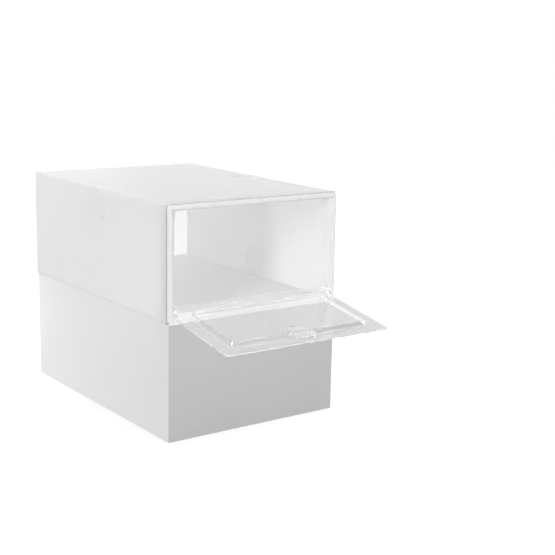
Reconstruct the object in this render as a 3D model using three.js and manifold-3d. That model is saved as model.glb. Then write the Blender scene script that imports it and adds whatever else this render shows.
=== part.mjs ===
// A stackable drop-front shoe box that snaps together from flat mouldings: four walls, a back,
// a front frame and a clear door. Millimetres, +X to the right, +Y to the back, +Z up.
// The origin is the middle of the floor panel's underside. The door lies open.
import * as THREE from "three";
import { mergeVertices } from "three/addons/utils/BufferGeometryUtils.js";
import Module from "manifold-3d";

const wasm = await Module();
wasm.setup();

// ---- Driving dimensions ----
const WIDTH = 237; // over the back panel
const DEPTH = 335; // from the frame's face to the back
const HEIGHT = 135; // over the back panel
const GAP = 0.3; // between pieces that touch
const OVERRUN = 1; // how far a cutting solid runs past what it cuts

// Walls: each one covers its neighbour's edge at one long side and folds a tab into its other
// neighbour at the other long side, like a pinwheel.
const WALL = 1.6; // thickness
const FLOOR = 2.8; // thickness of the floor, whose underside is flat
const WALL_INSET = 0.8; // how far the walls stand in from the back panel's outline

// The keyhole-shaped lock that joins two walls half way along their edge
const NECK_HALF = 14;
const BULB_LENGTH = 22; // half the bulb, along the edge
const BULB_HEIGHT = 15.5; // half the bulb, away from the edge
const BULB_CENTRE = 25.5; // from the edge
const LOCK_DEPTH = 1.7; // of the recess, from the wall's inner face
const LOCK_RAISE = 0.8; // of the recess's back, above the wall's outer face
const LOCK_RIM = 1.4; // of material round the recess
const LOCK_PLAY = 0.4; // between the tab and the recess, all round
const TAB = 0.8; // thickness of a folded tab
const FOLD = 2; // width of the groove that the tab folds along
const NECK_RIBS = 3; // short ribs that stiffen the tab's neck
const NECK_RIB_PITCH = 5.5;
const NECK_RIB_WIDTH = 1.2;
const NECK_RIB_RAISE = 0.5;
const NECK_RIB_TOP = 11; // from the wall's outer face

// Front frame
const FACE = 3.8; // depth of the face
const FRAME_INSET = 1.2; // how far the frame's outline stands in from the walls' outer faces
const TOP_RAIL = 6.7;
const SIDE_RAIL = 8;
const BOTTOM_RAIL = 4.8;
const LIP = 4.4; // width of the raised outer lip
const LIP_STEP = 2.2; // how far the lip stands in front of the rails, which the door closes on
const FRAME_CORNER = 3;
const OPENING_CORNER = 1.5;
const ARCH_HALF = 15; // half the shallow arch in the top rail's lower edge
const ARCH_RISE = 0.8;
const SLEEVE_DEPTH = 12; // of the sleeve that the walls slide over
const SLEEVE = 1.5; // thickness
const SLEEVE_CORNER = 1;
const RETURN_DEPTH = 6.4; // of the lip round the opening, from the lip's step
const STOP_WIDTH = 2.2; // how far the door's stops reach into the opening
const STOP_HEIGHT = 10;
const STOP_DEPTH = 8.5;

// The tongues that lock the frame into the top and the floor
const TONGUE_HALF = 14.5;
const TONGUE_SHIFT = 18; // from the middle of the wall, towards the edge with the folded tab
const TONGUE_START = 21.5; // behind the frame's face
const TONGUE_END = 50;
const TONGUE_PLAY = 1;
const TONGUE_CORNER = 2; // of the recess

// Back panel
const BACK = 1.6;
const BACK_CORNER = 4;
const BACK_SLEEVE = 0.9;
const BACK_SLEEVE_DEPTH = 4;

// Door, in its closed place
const DOOR = 1.6; // thickness of the sheet
const DOOR_RECESS = 0.3; // from the frame's face to the door's face
const DOOR_PLAY = 1.2; // between the door and the frame's lip
const HINGE_END_PLAY = 0.8; // between the door's narrow hinge end and the opening
const HINGE_END = 12; // height of that narrow end
const DOOR_BOTTOM = 9.2; // height of the door's lower edge
const DOOR_CORNER = 4;
const BORDER = 17.5; // flat border round the raised panel
const HINGE_BORDER = 10.8; // the same along the hinge edge
const PANEL_RISE = 5;
const PANEL_SLOPE = 1.2; // how far the panel's wall leans in over its height
const PANEL_WALL = 1.2; // between the feet of the wall's two sides
const PANEL_CORNER = 5;
const FLANGE_DEPTH = 8; // of the flange along the hinge edge
const EAR_HEIGHT = 14; // of the hinge ears, above the door's lower edge
const SCOOP_RADIUS = 16; // of the finger scoop
const SCOOP_CENTRE = 19; // below the door's free edge
const SCOOP_DEPTH = 4.2;
const SCOOP_WALL = 1.4;
const GRIP_RIBS = 5;
const GRIP_PITCH = 5;
const GRIP_LENGTH = 16;
const GRIP_WIDTH = 1.4;
const GRIP_HEIGHT = 0.8;
const GATE_RADIUS = 2; // the moulding gate's mark in the middle of the flange
const GATE_HEIGHT = 0.6;

// Hinge
const HINGE_BEHIND_FACE = 4.9;
const HINGE_HEIGHT = 13.2;
const STUD_RADIUS = 2;
const STUD_LENGTH = 4.2;
const HINGE_PLAY = 0.05;
const OPEN_DEGREES = 100;
const ROUND_SEGMENTS = 40; // of a full circle
const BULB_SEGMENTS = 32;
const CORNER_SEGMENTS = 6;

// ---- Places that follow from them ----
const FRONT = -DEPTH / 2;
const REAR = DEPTH / 2;
const SIDE = WIDTH / 2 - WALL_INSET; // a side wall's outer face
const ROOF = HEIGHT - WALL_INSET; // the top's outer face
const WALL_FRONT = FRONT + FACE + GAP;
const WALL_REAR = REAR - BACK - GAP;
const INNER = {
  x0: -(SIDE - WALL - GAP),
  z0: FLOOR + GAP,
  x1: SIDE - WALL - GAP,
  z1: ROOF - WALL - GAP,
};
const FRAME_EDGE = {
  x0: -(SIDE - FRAME_INSET),
  z0: FRAME_INSET,
  x1: SIDE - FRAME_INSET,
  z1: ROOF - FRAME_INSET,
};
const OPENING = {
  x0: FRAME_EDGE.x0 + SIDE_RAIL,
  z0: FRAME_EDGE.z0 + BOTTOM_RAIL,
  x1: FRAME_EDGE.x1 - SIDE_RAIL,
  z1: FRAME_EDGE.z1 - TOP_RAIL,
};
const DOOR_FACE = FRONT + DOOR_RECESS;
const DOOR_EDGE = {
  x0: FRAME_EDGE.x0 + LIP + DOOR_PLAY,
  z0: DOOR_BOTTOM,
  x1: FRAME_EDGE.x1 - LIP - DOOR_PLAY,
  z1: FRAME_EDGE.z1 - LIP - DOOR_PLAY,
};
const EAR_FACE = OPENING.x1 - HINGE_END_PLAY; // the outer face of the right ear
const HINGE = new THREE.Vector3(0, FRONT + HINGE_BEHIND_FACE, HINGE_HEIGHT);

// ---- Materials ----
const milkyPlastic = () =>
  new THREE.MeshStandardMaterial({ color: 0xeceeee, roughness: 0.45, metalness: 0 });
const whitePlastic = () =>
  new THREE.MeshStandardMaterial({ color: 0xf8f8f8, roughness: 0.28, metalness: 0 });
const clearPlastic = () =>
  new THREE.MeshStandardMaterial({
    color: 0xf3f7f8,
    roughness: 0.06,
    metalness: 0,
    transparent: true,
    opacity: 0.3,
  });

// ---- Solids ----
function solid(geometry) {
  const bare = new THREE.BufferGeometry();
  bare.setAttribute("position", geometry.getAttribute("position"));
  if (geometry.index) bare.setIndex(geometry.index);
  const merged = mergeVertices(bare, 1e-4);
  return new wasm.Manifold(
    new wasm.Mesh({
      numProp: 3,
      vertProperties: merged.attributes.position.array,
      triVerts: new Uint32Array(merged.index.array),
    }),
  );
}

function mesh(name, shape, material) {
  const { vertProperties, triVerts } = shape.getMesh();
  const geometry = new THREE.BufferGeometry();
  geometry.setAttribute("position", new THREE.BufferAttribute(vertProperties, 3));
  geometry.setIndex(new THREE.BufferAttribute(triVerts, 1));
  geometry.computeVertexNormals();
  const made = new THREE.Mesh(geometry, material);
  made.name = name;
  return made;
}

// ExtrudeGeometry cuts an arc into twice its curveSegments.
const corners = (segments) => ({ curveSegments: segments / 2 });

// An extrusion whose outline lies in the plane of `across` and `up`, and which runs from `low` to
// `high` along their cross product.
function extrusion(shape, across, up, low, high, extra = {}) {
  const along = across.clone().cross(up);
  const options = { depth: high - low, bevelEnabled: false, ...corners(CORNER_SEGMENTS), ...extra };
  const geometry = new THREE.ExtrudeGeometry(shape, options);
  const basis = new THREE.Matrix4().makeBasis(across, up, along);
  geometry.applyMatrix4(basis.setPosition(along.clone().multiplyScalar(low)));
  return solid(geometry);
}

const X = new THREE.Vector3(1, 0, 0);
const Y = new THREE.Vector3(0, 1, 0);
const Z = new THREE.Vector3(0, 0, 1);

// Upright slabs, with the outline in x and z, from one y to another
const upright = (shape, front, back, extra) => extrusion(shape, X, Z, -back, -front, extra);
// Plates that stand fore and aft, with the outline in y and z, from one x to another
const foreAndAft = (shape, left, right) => extrusion(shape, Y, Z, left, right);

function block(x0, x1, y0, y1, z0, z1) {
  const geometry = new THREE.BoxGeometry(x1 - x0, y1 - y0, z1 - z0);
  return solid(geometry.translate((x0 + x1) / 2, (y0 + y1) / 2, (z0 + z1) / 2));
}

function rectangle({ x0, z0, x1, z1 }, r, inset = 0) {
  const [a, b, c, d] = [x0 + inset, z0 + inset, x1 - inset, z1 - inset];
  const shape = new THREE.Shape();
  shape.absarc(c - r, b + r, r, -Math.PI / 2, 0, false);
  shape.absarc(c - r, d - r, r, 0, Math.PI / 2, false);
  shape.absarc(a + r, d - r, r, Math.PI / 2, Math.PI, false);
  shape.absarc(a + r, b + r, r, Math.PI, 1.5 * Math.PI, false);
  shape.closePath();
  return shape;
}

function ring(outer, inner, front, back) {
  return upright(outer, front, back).subtract(upright(inner, front - OVERRUN, back + OVERRUN));
}

// `count` places round 0, `pitch` apart
function evenly(count, pitch) {
  return Array.from({ length: count }, (_, i) => (i - (count - 1) / 2) * pitch);
}

// A keyhole that opens on the edge v = 0: a neck and an oval bulb, both grown by `grow`
function keyhole(grow, start = 0) {
  const neck = NECK_HALF + grow;
  const length = BULB_LENGTH + grow;
  const join = Math.acos(neck / length);
  const shape = new THREE.Shape();
  shape.moveTo(-neck, start);
  shape.lineTo(neck, start);
  shape.absellipse(0, BULB_CENTRE, length, BULB_HEIGHT + grow, -join, Math.PI + join, false, 0);
  shape.closePath();
  return shape;
}

// ---- Walls ----
// A wall lies in its own frame: X fore and aft, Y across from the edge that covers its neighbour
// (Y = 0) to the edge with the folded tab, and Z outwards, with its outer face at Z = 0.
const flat = (shape, low, high, extra) => extrusion(shape, X, Y, low, high, extra);
const rounded = corners(BULB_SEGMENTS);

function lockRecess(thickness) {
  const back = -thickness + LOCK_DEPTH;
  return flat(keyhole(0, -OVERRUN), -thickness - OVERRUN, back, rounded);
}

function lockBoss() {
  return flat(keyhole(LOCK_RIM), -LOCK_RIM / 2, LOCK_RAISE, rounded);
}

function foldedTab(width, thickness) {
  const far = width + LOCK_DEPTH;
  const half = NECK_HALF - LOCK_PLAY;
  const bridge = block(-half, half, width - FOLD - OVERRUN, far, -TAB, 0);
  const tab = extrusion(keyhole(-LOCK_PLAY), X, Z.clone().negate(), far - TAB, far, rounded);
  const groove = block(-half, half, width - FOLD, far - TAB, -thickness - OVERRUN, -TAB);
  return { added: bridge.add(tab).add(neckRibs(far - TAB, thickness)), groove };
}

// The ribs stand on the tab's inner face at Y = face.
function neckRibs(face, thickness) {
  const rib = (x) => {
    const [left, right] = [x - NECK_RIB_WIDTH / 2, x + NECK_RIB_WIDTH / 2];
    return block(left, right, face - NECK_RIB_RAISE, face + TAB / 2, -NECK_RIB_TOP, -thickness);
  };
  return evenly(NECK_RIBS, NECK_RIB_PITCH).map(rib).reduce((all, next) => all.add(next));
}

// The place for the frame's tongue, a little behind the wall's front edge
function tonguePlace(grow) {
  const start = FRONT + TONGUE_START - TONGUE_PLAY - grow;
  const end = FRONT + TONGUE_END + TONGUE_PLAY + grow;
  const middle = SIDE + TONGUE_SHIFT;
  const half = TONGUE_HALF + TONGUE_PLAY + grow;
  const place = { x0: start, z0: middle - half, x1: end, z1: middle + half };
  return rectangle(place, TONGUE_CORNER + grow);
}

function wall({ width, thickness, raised, takesTongue }) {
  let body = block(WALL_FRONT, WALL_REAR, 0, width, -thickness, 0);
  const { added, groove } = foldedTab(width, thickness);
  if (raised) body = body.add(lockBoss());
  if (raised && takesTongue) {
    body = body.add(flat(tonguePlace(LOCK_RIM), -LOCK_RIM / 2, LOCK_RAISE));
  }
  if (takesTongue) {
    const recess = flat(tonguePlace(0), -thickness - OVERRUN, -thickness + LOCK_DEPTH);
    body = body.subtract(recess);
  }
  return body.subtract(lockRecess(thickness)).subtract(groove).add(added);
}

function placedWall(name, corner, across, outwards, options) {
  const made = mesh(name, wall(options), milkyPlastic());
  const basis = new THREE.Matrix4().makeBasis(Y, across, outwards);
  made.quaternion.setFromRotationMatrix(basis);
  made.position.copy(corner);
  return made;
}

function walls() {
  const across = 2 * SIDE - WALL - GAP;
  const left = X.clone().negate();
  const down = Z.clone().negate();
  return [
    placedWall("right_wall", new THREE.Vector3(SIDE, 0, 0), Z, X, {
      width: ROOF - WALL - GAP,
      thickness: WALL,
      raised: true,
      takesTongue: false,
    }),
    placedWall("top_panel", new THREE.Vector3(SIDE, 0, ROOF), left, Z, {
      width: across,
      thickness: WALL,
      raised: true,
      takesTongue: true,
    }),
    placedWall("left_wall", new THREE.Vector3(-SIDE, 0, ROOF), down, left, {
      width: ROOF - FLOOR - GAP,
      thickness: WALL,
      raised: true,
      takesTongue: false,
    }),
    placedWall("floor_panel", new THREE.Vector3(-SIDE, 0, 0), X, down, {
      width: across,
      thickness: FLOOR,
      raised: false,
      takesTongue: true,
    }),
  ];
}

// ---- Back panel ----
function backPanel() {
  const outline = { x0: -WIDTH / 2, z0: 0, x1: WIDTH / 2, z1: HEIGHT };
  const plate = upright(rectangle(outline, BACK_CORNER), REAR - BACK, REAR);
  const sleeve = ring(
    rectangle(INNER, SLEEVE_CORNER),
    rectangle(INNER, SLEEVE_CORNER, BACK_SLEEVE),
    REAR - BACK - BACK_SLEEVE_DEPTH,
    REAR - BACK / 2,
  );
  return mesh("back_panel", plate.add(sleeve), milkyPlastic());
}

// ---- Front frame ----
// The middle of the opening's upper edge, an arc that rises ARCH_RISE above it
function arch(grow, front, back) {
  const radius = (ARCH_HALF ** 2 + ARCH_RISE ** 2) / (2 * ARCH_RISE) + grow;
  const centre = OPENING.z1 + ARCH_RISE + grow - radius;
  const spread = Math.acos((OPENING.z1 - OVERRUN - centre) / radius);
  const shape = new THREE.Shape();
  shape.absarc(0, centre, radius, Math.PI / 2 - spread, Math.PI / 2 + spread, false);
  shape.closePath();
  return upright(shape, front, back, corners(ROUND_SEGMENTS));
}

// The opening as a solid, grown by `grow`
function mouth(grow, front, back) {
  const straight = upright(rectangle(OPENING, OPENING_CORNER + grow, -grow), front, back);
  return straight.add(arch(grow, front, back));
}

function frameFace() {
  const outer = rectangle(FRAME_EDGE, FRAME_CORNER);
  const back = FRONT + FACE;
  const lip = ring(outer, rectangle(FRAME_EDGE, OPENING_CORNER, LIP), FRONT, back);
  const rails = upright(outer, FRONT + LIP_STEP, back).subtract(mouth(0, FRONT, back + OVERRUN));
  return lip.add(rails);
}

// The rim that stands behind the rails round the opening, except below, where the door's flange
// swings
function frameReturn() {
  const front = FRONT + LIP_STEP;
  const back = front + RETURN_DEPTH;
  const rim = mouth(SLEEVE, front, back).subtract(mouth(0, front - OVERRUN, back + OVERRUN));
  const top = OPENING.z0 + OVERRUN;
  return rim.subtract(block(OPENING.x0, OPENING.x1, FRONT + FACE, back + OVERRUN, 0, top));
}

function frameSleeve() {
  const outer = rectangle(INNER, SLEEVE_CORNER);
  const inner = rectangle(INNER, SLEEVE_CORNER, SLEEVE);
  const start = FRONT + FACE;
  return ring(outer, inner, start - FACE / 4, start + SLEEVE_DEPTH);
}

// A tongue that steps out from the sleeve into a wall's recess, `middle` to the right of centre
function tongue(middle, inside, outside, tipInside) {
  const [low, high] = [Math.min(inside, outside), Math.max(inside, outside)];
  const start = FRONT + TONGUE_START;
  const riserEnd = start + SLEEVE;
  const sleeveEnd = FRONT + FACE + SLEEVE_DEPTH;
  const sleeveFace = inside < outside ? INNER.z1 : INNER.z0;
  const [baseLow, baseHigh] = [Math.min(inside, sleeveFace), Math.max(inside, sleeveFace)];
  const [tipLow, tipHigh] = [Math.min(tipInside, outside), Math.max(tipInside, outside)];
  const [left, right] = [middle - TONGUE_HALF, middle + TONGUE_HALF];
  const base = block(left, right, sleeveEnd - OVERRUN, riserEnd, baseLow, baseHigh);
  const riser = block(left, right, start, riserEnd, low, high);
  const tip = block(left, right, start, FRONT + TONGUE_END, tipLow, tipHigh);
  return base.add(riser).add(tip);
}

function tongues() {
  const roofTip = ROOF - WALL + LOCK_DEPTH - GAP;
  const floorTip = FLOOR - LOCK_DEPTH + GAP;
  const upper = tongue(-TONGUE_SHIFT, INNER.z1 - SLEEVE, roofTip, roofTip - TAB);
  const lower = tongue(TONGUE_SHIFT, INNER.z0 + SLEEVE, floorTip, floorTip + TAB);
  return upper.add(lower);
}

function doorStops() {
  const front = FRONT + LIP_STEP + GAP;
  const back = front + STOP_DEPTH;
  const low = OPENING.z1 - STOP_HEIGHT;
  const high = INNER.z1 - SLEEVE / 2;
  const inside = OPENING.x1 - STOP_WIDTH;
  const outside = INNER.x1 - SLEEVE / 2;
  const right = block(inside, outside, front, back, low, high);
  const left = block(-outside, -inside, front, back, low, high);
  return right.add(left);
}

function hingeStuds() {
  const length = STUD_LENGTH + SLEEVE;
  const at = OPENING.x1 + SLEEVE / 2 - length / 2;
  const stud = new THREE.CylinderGeometry(STUD_RADIUS, STUD_RADIUS, length, ROUND_SEGMENTS);
  stud.rotateZ(Math.PI / 2).translate(0, HINGE.y, HINGE.z);
  const right = solid(stud.clone().translate(at, 0, 0));
  const left = solid(stud.clone().translate(-at, 0, 0));
  return right.add(left);
}

function frontFrame() {
  const shell = frameFace().add(frameReturn()).add(frameSleeve());
  const whole = shell.add(tongues()).add(doorStops()).add(hingeStuds());
  return mesh("front_frame", whole, whitePlastic());
}

// ---- Door ----
// The raised panel with its leaning wall: a flat-topped hill behind the plane at y = base, with
// its foot `inset` in from the border
function panelHill(base, inset) {
  const foot = { ...DOOR_EDGE, z0: DOOR_EDGE.z0 + HINGE_BORDER - BORDER };
  const plateau = rectangle(foot, PANEL_CORNER - inset, BORDER + PANEL_SLOPE + inset);
  const wall = {
    bevelEnabled: true,
    bevelThickness: PANEL_RISE,
    bevelSize: PANEL_SLOPE,
    bevelSegments: 1,
    depth: DOOR,
  };
  const doubled = upright(plateau, base - DOOR, base, wall);
  return doubled.subtract(block(-WIDTH, WIDTH, base - DEPTH, base, -HEIGHT, 2 * HEIGHT));
}

// The corners beside the hinge ears, which are missing so that the ears swing inside the opening
function hingeEndCorners() {
  const top = DOOR_BOTTOM + HINGE_END;
  const corner = (left, right) => {
    return block(left, right, FRONT - OVERRUN, FRONT + FACE, DOOR_BOTTOM - OVERRUN, top);
  };
  return corner(-WIDTH, -EAR_FACE).add(corner(EAR_FACE, WIDTH));
}

function doorSheet() {
  const outline = rectangle(DOOR_EDGE, DOOR_CORNER);
  const border = upright(outline, DOOR_FACE, DOOR_FACE + DOOR).subtract(hingeEndCorners());
  const hill = panelHill(DOOR_FACE + DOOR, 0);
  const hollow = panelHill(DOOR_FACE, PANEL_WALL);
  return border.add(hill).subtract(hollow);
}

function disc(radius, front, back) {
  const shape = new THREE.Shape();
  shape.absarc(0, DOOR_EDGE.z1 - SCOOP_CENTRE, radius, 0, 2 * Math.PI, false);
  return upright(shape, front, back, corners(ROUND_SEGMENTS));
}

function gripRibs(roof) {
  const middle = DOOR_EDGE.z1 - SCOOP_CENTRE;
  const [low, high] = [middle - GRIP_LENGTH / 2, middle + GRIP_LENGTH / 2];
  const rib = (x) => {
    const [left, right] = [x - GRIP_WIDTH / 2, x + GRIP_WIDTH / 2];
    return block(left, right, roof - GRIP_HEIGHT, roof + DOOR / 2, low, high);
  };
  return evenly(GRIP_RIBS, GRIP_PITCH).map(rib).reduce((all, next) => all.add(next));
}

function hingeFlange() {
  const inner = DOOR_FACE + DOOR;
  const strip = block(
    -EAR_FACE,
    EAR_FACE,
    DOOR_FACE + DOOR / 2,
    inner + FLANGE_DEPTH,
    DOOR_BOTTOM,
    DOOR_BOTTOM + DOOR,
  );
  const gate = new THREE.CylinderGeometry(GATE_RADIUS, GATE_RADIUS, DOOR, ROUND_SEGMENTS / 2);
  const gateTop = DOOR_BOTTOM + DOOR + GATE_HEIGHT;
  gate.rotateX(Math.PI / 2).translate(0, inner + FLANGE_DEPTH / 2, gateTop - DOOR / 2);
  return strip.add(solid(gate));
}

function ear(left, right) {
  const front = DOOR_FACE + DOOR / 2;
  const inner = DOOR_FACE + DOOR;
  const back = inner + FLANGE_DEPTH;
  const top = DOOR_BOTTOM + EAR_HEIGHT;
  const shape = new THREE.Shape();
  shape.moveTo(front, DOOR_BOTTOM);
  shape.lineTo(back, DOOR_BOTTOM);
  shape.lineTo(back, HINGE.z);
  shape.quadraticCurveTo(back, top, inner, top);
  shape.lineTo(front, top);
  shape.closePath();
  return foreAndAft(shape, left, right);
}

function hingeHoles() {
  const radius = (STUD_RADIUS + HINGE_PLAY) / Math.cos(Math.PI / ROUND_SEGMENTS);
  const hole = new THREE.CylinderGeometry(radius, radius, 2 * WIDTH, ROUND_SEGMENTS);
  hole.rotateZ(Math.PI / 2).translate(0, HINGE.y, HINGE.z);
  return solid(hole);
}

function door() {
  const roof = DOOR_FACE + SCOOP_DEPTH;
  const boss = disc(SCOOP_RADIUS, DOOR_FACE + DOOR / 2, roof + DOOR);
  const bowl = disc(SCOOP_RADIUS - SCOOP_WALL, DOOR_FACE - OVERRUN, roof);
  const sheet = doorSheet().add(boss).subtract(bowl).add(gripRibs(roof));
  const ears = ear(-EAR_FACE, DOOR - EAR_FACE).add(ear(EAR_FACE - DOOR, EAR_FACE));
  const whole = sheet.add(hingeFlange()).add(ears).subtract(hingeHoles());
  const made = mesh("door", whole, clearPlastic());
  made.position.copy(HINGE).negate();
  const swung = new THREE.Group();
  swung.position.copy(HINGE);
  swung.rotation.x = THREE.MathUtils.degToRad(OPEN_DEGREES);
  swung.add(made);
  return swung;
}

const shoeBox = new THREE.Group();
shoeBox.add(...walls(), backPanel(), frontFrame(), door());

export default shoeBox;
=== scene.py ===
"""The looks of a drop-front shoe box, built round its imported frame. Metres, in the frame's axes."""
import math

import bmesh
import bpy
from mathutils import Matrix, Vector
from mathutils.bvhtree import BVHTree


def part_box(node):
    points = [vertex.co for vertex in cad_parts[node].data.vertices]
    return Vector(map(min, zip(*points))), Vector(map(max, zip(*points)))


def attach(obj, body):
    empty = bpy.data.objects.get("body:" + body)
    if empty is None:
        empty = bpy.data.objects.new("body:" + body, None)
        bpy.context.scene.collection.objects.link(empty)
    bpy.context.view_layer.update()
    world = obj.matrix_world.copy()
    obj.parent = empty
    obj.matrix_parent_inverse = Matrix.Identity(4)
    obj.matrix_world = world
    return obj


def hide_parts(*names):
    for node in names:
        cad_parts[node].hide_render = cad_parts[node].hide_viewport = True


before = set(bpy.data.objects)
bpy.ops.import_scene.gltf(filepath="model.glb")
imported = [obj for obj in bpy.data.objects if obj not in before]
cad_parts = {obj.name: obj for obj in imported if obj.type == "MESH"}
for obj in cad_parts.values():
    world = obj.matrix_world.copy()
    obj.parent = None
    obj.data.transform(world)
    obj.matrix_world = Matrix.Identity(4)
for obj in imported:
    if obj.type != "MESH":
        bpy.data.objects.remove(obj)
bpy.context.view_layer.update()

MM = 0.001

# ---- Camera ----
CAMERA_AT = Vector((-0.7563, -1.2316, 0.3170))
CAMERA_YAW = 36.50  # degrees to the right of +Y
CAMERA_PITCH = 11.88  # degrees below level
CAMERA_ROLL = 1.21  # degrees
SENSOR = 36.0  # mm
LENS = 75.13  # mm

# ---- Stage ----
PLINTH_HEIGHT = 0.136
PLINTH_GAP = 0.1 * MM  # left free above the plinth and below it
PLINTH_INSET = 2 * MM  # how far its sides and back stand inside the box's
FLOOR_SIZE = 3.8
FLOOR_THICKNESS = 0.05
FLOOR_Z = -PLINTH_HEIGHT
FLOOR_SEEN = 0.995  # the floor's shade to the camera
FLOOR_THROUGH = 0.40  # the same through clear plastic
FLOOR_LIGHT = 0.30  # the same to the light that it throws back at the object

# ---- Light ----
WORLD_SEEN = 1.0  # the background behind the object
WORLD_THROUGH = 0.36  # the same through clear plastic
WORLD_LIGHT = 0.18  # the even light that it throws on the object
MIDDLE = (0, 0, 0.06)  # of the box, which most lamps look at
LAMPS = {
    "ceiling": dict(at=(0, 0, 4), target=(0, 0, 0), width=24.0, height=24.0, power=1420),
    "key": dict(at=(-1.96, -1.20, 0.5), target=MIDDLE, width=0.28, height=1.4, power=26),
    "rear": dict(at=(0.1, 2.2, 0.15), target=(0.1, 0, 0.1), width=2.0, height=0.5, power=36),
    "fill": dict(at=(0.8, -2.2, 0.6), target=MIDDLE, width=1.0, height=1.0, power=14),
    "side": dict(at=(2.5, 0.3, 0.6), target=MIDDLE, width=1.5, height=1.0, power=16),
}
BOUNCES = 32  # enough for the reflections inside the clear door
DIFFUSE_BOUNCES = 12  # enough for light that wanders between the milky sheets

# ---- Plastics ----
MILKY_IOR = 1.49
WHITE_IOR = 1.5
CLEAR_IOR = 1.22  # less than real plastic's, which makes the door too dark
COAT_IOR = 1.5  # the clear door's gloss has real plastic's strength
NOISE_LOW = 0.3  # nearly all of a noise lies between these two
NOISE_HIGH = 0.7

# ---- Finish of the moulded pieces ----
SHEET_EDGE = 0.35 * MM  # radius of the rounded edges of the sheets and the door
FRAME_EDGE = 0.4 * MM
EDGE_STEPS = 2
THIN = 1.2 * MM  # panel parts thinner than this let more light through
FACING = 0.99  # how much of a face's normal points the way that it faces, at least
END_DEPTH = 3 * MM  # a sheet's front end lies this near its foremost point
WELD = 0.01 * MM
FLAT_DEGREES = 0.5  # faces that differ by less lie in one plane
EDGE_DEGREES = 20  # an edge that bends by more is rounded


# ---- Helpers ----
def new_object(name, data):
    obj = bpy.data.objects.new(name, data)
    bpy.context.scene.collection.objects.link(obj)
    return obj


def slab(name, low, high):
    """A block between two corners, with its faces pointing out."""
    shape = bmesh.new()
    bmesh.ops.create_cube(shape, size=1)
    size = Vector(high) - Vector(low)
    middle = (Vector(high) + Vector(low)) / 2
    bmesh.ops.transform(shape, matrix=Matrix.LocRotScale(middle, None, size), verts=shape.verts)
    mesh = bpy.data.meshes.new(name)
    shape.to_mesh(mesh)
    shape.free()
    return new_object(name, mesh)


def grey(shade):
    return (shade, shade, shade)


def by_ray(tree, seen, through, other):
    """Mixes a shader for the camera, one for a look through clear plastic and one for the rest."""
    paths = tree.nodes.new("ShaderNodeLightPath").outputs
    result = other
    for ray, shader in (("Transmission", through), ("Diffuse", other), ("Camera", seen)):
        mix = tree.nodes.new("ShaderNodeMixShader")
        tree.links.new(paths[f"Is {ray} Ray"], mix.inputs[0])
        tree.links.new(result, mix.inputs[1])
        tree.links.new(shader, mix.inputs[2])
        result = mix.outputs[0]
    return result


# ---- Materials ----
class Shader:
    """A material's node tree, with short ways to add nodes to it."""

    def __init__(self, name):
        self.material = bpy.data.materials.new(name)
        self.material.use_nodes = True
        self.tree = self.material.node_tree
        self.tree.nodes.clear()
        self.output = self.add("ShaderNodeOutputMaterial")
        self.place = self.add("ShaderNodeTexCoord").outputs["Object"]

    def add(self, kind, values=(), **settings):
        """A new node, with a number, a colour or a link for each socket that values names."""
        node = self.tree.nodes.new(kind)
        for name, value in settings.items():
            setattr(node, name, value)
        for name, value in dict(values).items():
            if isinstance(value, bpy.types.NodeSocket):
                self.tree.links.new(value, node.inputs[name])
            else:
                node.inputs[name].default_value = value
        return node

    def noise(self, scale, detail=2.0):
        values = {"Vector": self.place, "Scale": scale, "Detail": detail}
        return self.add("ShaderNodeTexNoise", values).outputs["Fac"]

    def between(self, noise, low, high):
        """A noise, spread over low to high."""
        values = {"Value": noise, "To Min": low, "To Max": high}
        values |= {"From Min": NOISE_LOW, "From Max": NOISE_HIGH}
        return self.add("ShaderNodeMapRange", values).outputs["Result"]

    def bump(self, height, distance, strength):
        values = {"Height": height, "Distance": distance, "Strength": strength}
        return self.add("ShaderNodeBump", values).outputs["Normal"]

    def tint(self, factor, first, second):
        """A colour that goes from first to second as the factor goes from 0 to 1."""
        node = self.add("ShaderNodeMix", data_type="RGBA")
        self.tree.links.new(factor, node.inputs[0])
        node.inputs[6].default_value = (*first, 1)
        node.inputs[7].default_value = (*second, 1)
        return node.outputs[2]

    def blend(self, factor, first, second):
        """Shader first where the factor is 0, and second where it is 1."""
        sockets = {0: factor, 1: first.outputs[0], 2: second.outputs[0]}
        return self.add("ShaderNodeMixShader", sockets).outputs[0]

    def show(self, shader):
        self.tree.links.new(shader, self.output.inputs["Surface"])
        return self.material


def milky_plastic(name, shade, share):
    """Satin polypropylene sheet. share is how much of the light goes through."""
    s = Shader(name)
    clouds = s.noise(scale=18, detail=3)
    normal = s.bump(s.noise(scale=900), distance=0.01 * MM, strength=0.3)
    colour = s.tint(clouds, grey(shade * 0.988), grey(shade))
    body = s.add(
        "ShaderNodeBsdfPrincipled",
        {
            "Base Color": colour,
            "Roughness": s.between(s.noise(scale=60, detail=3), low=0.46, high=0.54),
            "IOR": MILKY_IOR,
            "Normal": normal,
        },
    )
    glow = s.add("ShaderNodeBsdfTranslucent", {"Color": colour, "Normal": normal})
    part = s.between(clouds, low=share - 0.015, high=share + 0.015)
    return s.show(s.blend(part, body, glow))


def white_plastic():
    """Glossy white moulding."""
    s = Shader("white_plastic")
    clouds = s.noise(scale=30)
    normal = s.bump(s.noise(scale=300, detail=1), distance=0.01 * MM, strength=0.2)
    body = s.add(
        "ShaderNodeBsdfPrincipled",
        {
            "Base Color": s.tint(clouds, grey(0.825), grey(0.84)),
            "Roughness": s.between(s.noise(scale=90, detail=3), low=0.26, high=0.34),
            "IOR": WHITE_IOR,
            "Normal": normal,
        },
    )
    return s.show(body.outputs[0])


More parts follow.
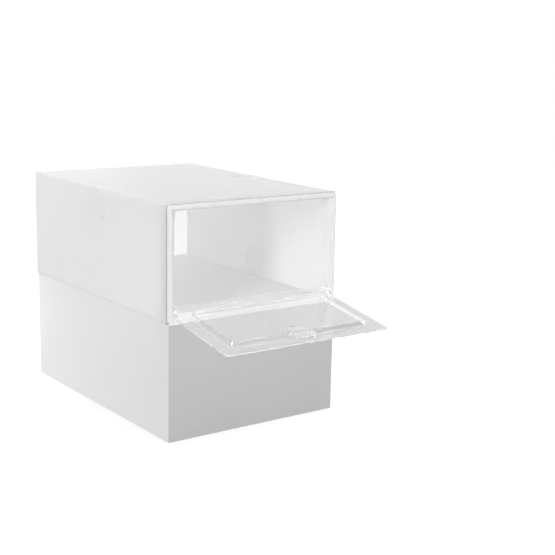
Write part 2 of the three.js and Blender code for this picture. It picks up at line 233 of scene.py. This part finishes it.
def clear_plastic(name, haze):
    """Polished clear sheet. haze is its milky share, and lamps reach what is behind it."""
    s = Shader(name)
    normal = s.bump(s.noise(scale=26, detail=1), distance=0.1 * MM, strength=0.25)
    glass = s.add(
        "ShaderNodeBsdfPrincipled",
        {
            "Base Color": s.tint(s.noise(scale=40), (0.965, 0.972, 0.972), (0.98, 0.984, 0.984)),
            "Roughness": s.between(s.noise(scale=120, detail=3), low=0.02, high=0.06),
            "IOR": CLEAR_IOR,
            "Transmission Weight": 1 - haze,
            "Coat Weight": 1.0,
            "Coat IOR": COAT_IOR,
            "Coat Roughness": 0.03,
            "Normal": normal,
        },
    )
    lamps = s.add("ShaderNodeBsdfTransparent", {"Color": (0.93, 0.94, 0.94, 1)})
    shadow = s.add("ShaderNodeLightPath").outputs["Is Shadow Ray"]
    return s.show(s.blend(shadow, glass, lamps))


def plinth_sheet(name, shade, share):
    """A thin sheet that glows with the light behind it."""
    s = Shader(name)
    colour = s.tint(s.noise(scale=12), grey(shade - 0.01), grey(shade + 0.01))
    body = s.add("ShaderNodeBsdfPrincipled", {"Base Color": colour, "Roughness": 0.6})
    glow = s.add("ShaderNodeBsdfTranslucent", {"Color": colour})
    part = s.between(s.noise(scale=5), low=share - 0.02, high=share + 0.02)
    return s.show(s.blend(part, body, glow))


def floor_paint():
    """White to the camera, and grey to the light that it throws back at the object."""
    s = Shader("floor_paint")
    paints = [
        s.add("ShaderNodeBsdfDiffuse", {"Color": (*grey(shade), 1)}).outputs[0]
        for shade in (FLOOR_SEEN, FLOOR_THROUGH, FLOOR_LIGHT)
    ]
    return s.show(by_ray(s.tree, *paints))


# ---- Moulded pieces ----
def thickness(tree, face):
    """How much material lies behind a face."""
    inwards = -face.normal
    start = face.calc_center_median_weighted() + inwards * WELD
    distance = tree.ray_cast(start, inwards)[3]
    return math.inf if distance is None else distance


def mark_sheet(shape):
    """Thin parts take a sheet's second material, and its end behind the frame takes the third, a
    darker painted shade for the shadowed joint between sheet and frame.
    """
    tree = BVHTree.FromBMesh(shape)
    behind_end = min(v.co.y for v in shape.verts) + END_DEPTH
    for face in shape.faces:
        # the front end gets painted shade: it is darkened for the shadow in the joint behind the
        # frame
        if face.normal.y < -FACING and face.calc_center_median().y < behind_end:
            face.material_index = 2
        elif thickness(tree, face) < THIN:
            face.material_index = 1


def whole_faces(node):
    """A copy of the CAD node's shape, with its facets joined into whole faces."""
    shape = bmesh.new()
    shape.from_mesh(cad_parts[node].data)
    bmesh.ops.remove_doubles(shape, verts=shape.verts, dist=WELD)
    flat = math.radians(FLAT_DEGREES)
    bmesh.ops.dissolve_limit(shape, angle_limit=flat, verts=shape.verts, edges=shape.edges)
    return shape


def round_edges(shape, radius, material):
    least = math.radians(EDGE_DEGREES)
    sharp = [e for e in shape.edges if len(e.link_faces) == 2 and e.calc_face_angle() > least]
    bmesh.ops.bevel(
        shape,
        geom=sharp,
        offset=radius,
        offset_type="OFFSET",
        segments=EDGE_STEPS,
        profile=0.5,
        affect="EDGES",
        clamp_overlap=True,
        material=material,
    )


def moulded(node, name, body, materials, radius, mark=None, rim=-1):
    """A moulding in place of a CAD node, with rounded edges.

    mark is a function that gives the faces their materials, and without it all have the first.
    rim is the number of the rounded edges' material, and -1 is that of the faces beside them."""
    shape = whole_faces(node)
    if mark:
        mark(shape)
    round_edges(shape, radius, rim)
    mesh = bpy.data.meshes.new(name)
    shape.to_mesh(mesh)
    shape.free()
    mesh.shade_smooth()
    obj = new_object(name, mesh)
    shading = obj.modifiers.new("shading", "WEIGHTED_NORMAL")
    shading.keep_sharp = False
    shading.weight = 100
    for material in materials:
        mesh.materials.append(material)
    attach(obj, body)
    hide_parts(node)


def box_pieces():
    milky = [
        milky_plastic("milky_plastic", shade=0.945, share=0.55),
        milky_plastic("thin_milky_plastic", shade=0.97, share=0.72),
        # the third is painted shade on the sheets' front ends, for the shadowed joint behind the
        # frame, not a different plastic
        milky_plastic("sheet_end_painted_shade", shade=0.60, share=0.30),
    ]
    for node in ("top_panel", "floor_panel", "left_wall", "right_wall"):
        moulded(node, node + "_sheet", "box", milky, SHEET_EDGE, mark=mark_sheet)
    back = [milky_plastic("back_milky_plastic", shade=0.97, share=0.68)]
    moulded("back_panel", "back_panel_sheet", "box", back, SHEET_EDGE)
    moulded("front_frame", "front_frame_moulding", "box", [white_plastic()], FRAME_EDGE)
    clear = [
        clear_plastic("clear_plastic", haze=0.08),
        clear_plastic("clear_plastic_edge", haze=0.5),
    ]
    moulded("door", "door_moulding", "door", clear, SHEET_EDGE, rim=1)


# ---- Stage ----
def open_plinth():
    """A bright hollow plinth without a top, below the box, with a darker front of painted shade."""
    low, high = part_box("back_panel")
    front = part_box("front_frame")[0].y
    near = (low.x + PLINTH_INSET, front, FLOOR_Z + PLINTH_GAP)
    far = (high.x - PLINTH_INSET, high.y - PLINTH_INSET, -PLINTH_GAP)
    plinth = slab("plinth", near, far)
    shape = bmesh.new()
    shape.from_mesh(plinth.data)
    tops = [face for face in shape.faces if face.normal.z > FACING]
    bmesh.ops.delete(shape, geom=tops, context="FACES")
    for face in shape.faces:
        # the front gets painted shade, standing for the shaded open front of a box below
        if face.normal.y < -FACING:
            face.material_index = 1
        elif face.normal.z < -FACING:
            face.material_index = 2
    shape.to_mesh(plinth.data)
    shape.free()
    plinth.data.materials.append(plinth_sheet("frosted_sheet", shade=0.97, share=0.60))
    # the darker front is painted shade, for the shaded open front of a box below
    plinth.data.materials.append(plinth_sheet("plinth_front_painted_shade", shade=0.58, share=0.40))
    plinth.data.materials.append(plinth_sheet("plinth_bottom", shade=0.97, share=0.02))
    return plinth


def stage():
    """The plinth that the box stands on, and a pale floor."""
    plinth = open_plinth()
    half = FLOOR_SIZE / 2
    floor = slab("floor", (-half, -half, FLOOR_Z - FLOOR_THICKNESS), (half, half, FLOOR_Z))
    floor.data.materials.append(floor_paint())


# ---- Light and camera ----
def studio_world():
    """Even light from all round, and pure white behind the object."""
    world = bpy.data.worlds.new("studio")
    bpy.context.scene.world = world
    world.use_nodes = True
    tree = world.node_tree
    tree.nodes.remove(tree.nodes["Background"])
    skies = []
    for strength in (WORLD_SEEN, WORLD_THROUGH, WORLD_LIGHT):
        sky = tree.nodes.new("ShaderNodeBackground")
        sky.inputs["Color"].default_value = (1, 1, 1, 1)
        sky.inputs["Strength"].default_value = strength
        skies.append(sky.outputs[0])
    tree.links.new(by_ray(tree, *skies), tree.nodes["World Output"].inputs[0])


def softbox(name, at, target, width, height, power):
    """A lamp with an even face, which the camera doesn't see."""
    light = bpy.data.lights.new(name, "AREA")
    light.shape = "RECTANGLE"
    light.size = width
    light.size_y = height
    light.energy = power
    lamp = new_object(name, light)
    lamp.location = at
    lamp.rotation_euler = (Vector(target) - Vector(at)).to_track_quat("-Z", "Y").to_euler()
    lamp.visible_camera = False


def lights():
    """A wide ceiling of light, a strip at the left front, and softboxes on the other sides."""
    studio_world()
    for name, lamp in LAMPS.items():
        softbox(name, **lamp)
    cycles = bpy.context.scene.cycles
    cycles.max_bounces = BOUNCES
    cycles.diffuse_bounces = DIFFUSE_BOUNCES
    cycles.glossy_bounces = BOUNCES
    cycles.transmission_bounces = BOUNCES
    bpy.context.scene.view_settings.view_transform = "Standard"


def camera():
    data = bpy.data.cameras.new("camera")
    data.sensor_width = SENSOR
    data.lens = LENS
    obj = new_object("camera", data)
    turn = (
        Matrix.Rotation(math.radians(-CAMERA_YAW), 4, "Z")
        @ Matrix.Rotation(math.radians(90 - CAMERA_PITCH), 4, "X")
        @ Matrix.Rotation(math.radians(CAMERA_ROLL), 4, "Z")
    )
    obj.matrix_world = Matrix.Translation(CAMERA_AT) @ turn
    bpy.context.scene.camera = obj


camera()
box_pieces()
stage()
lights()
